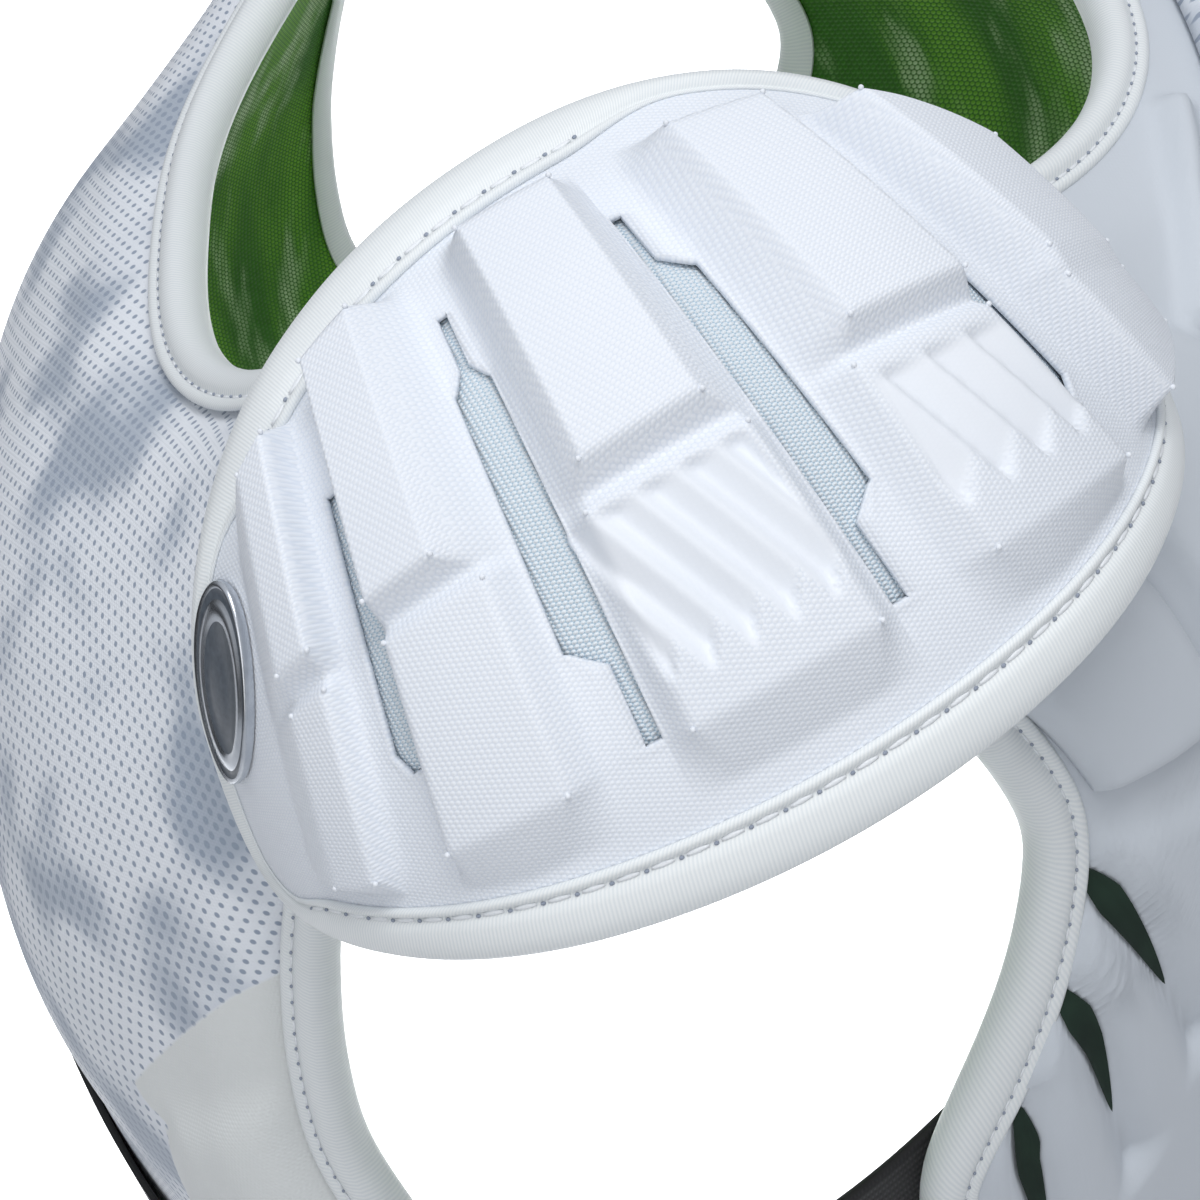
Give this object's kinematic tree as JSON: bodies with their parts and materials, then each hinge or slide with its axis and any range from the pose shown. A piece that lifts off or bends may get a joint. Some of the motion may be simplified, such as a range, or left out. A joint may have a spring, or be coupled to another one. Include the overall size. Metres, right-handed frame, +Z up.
{
  "type": "lacrosse shoulder pads",
  "caption": "Padded vest over the shoulders with a ribbed, slotted foam cap on each shoulder, a chest plate, bound neck and armholes, and elastic side straps.",
  "frame": {"origin": "between the two shoulder bridges, on the middle plane, at the height where the bridges sit on the shoulders", "axes": "+Z up, -Y the way the chest faces, +X to the wearer's left"},
  "size_m": [0.462, 0.3825, 0.3212],
  "materials": {
    "moulded_foam": "knit-faced moulded foam, matt white",
    "dotted_fabric": "pale grey woven fabric with darker dots",
    "lining_knit": "green brushed knit",
    "binding_tape": "white ribbed polyester tape",
    "knit_mesh": "pale blue-grey knit mesh",
    "elastic_webbing": "black woven elastic",
    "badge_plastic": "dark moulded plastic with a raised rim"
  },
  "bodies": {
    "root": {"front_panel": "moulded_foam", "front_lining": "lining_knit", "back_panel": "dotted_fabric", "back_lining": "lining_knit", "chest_plate": "dotted_fabric", "armhole_pad_left": "moulded_foam", "armhole_pad_right": "moulded_foam", "neck_binding": "binding_tape", "armhole_binding_left": "binding_tape", "armhole_binding_right": "binding_tape", "side_strap_left": "elastic_webbing", "side_strap_right": "elastic_webbing", "shoulder_cap_right": "moulded_foam", "shoulder_cap_left": "moulded_foam", "cap_mesh_right": "knit_mesh", "cap_mesh_left": "knit_mesh", "cap_binding_right": "binding_tape", "cap_binding_left": "binding_tape", "cap_badge_right": "badge_plastic", "cap_badge_left": "badge_plastic", "cap_tab_right": "moulded_foam", "cap_tab_left": "moulded_foam"}
  },
  "joints": []
}
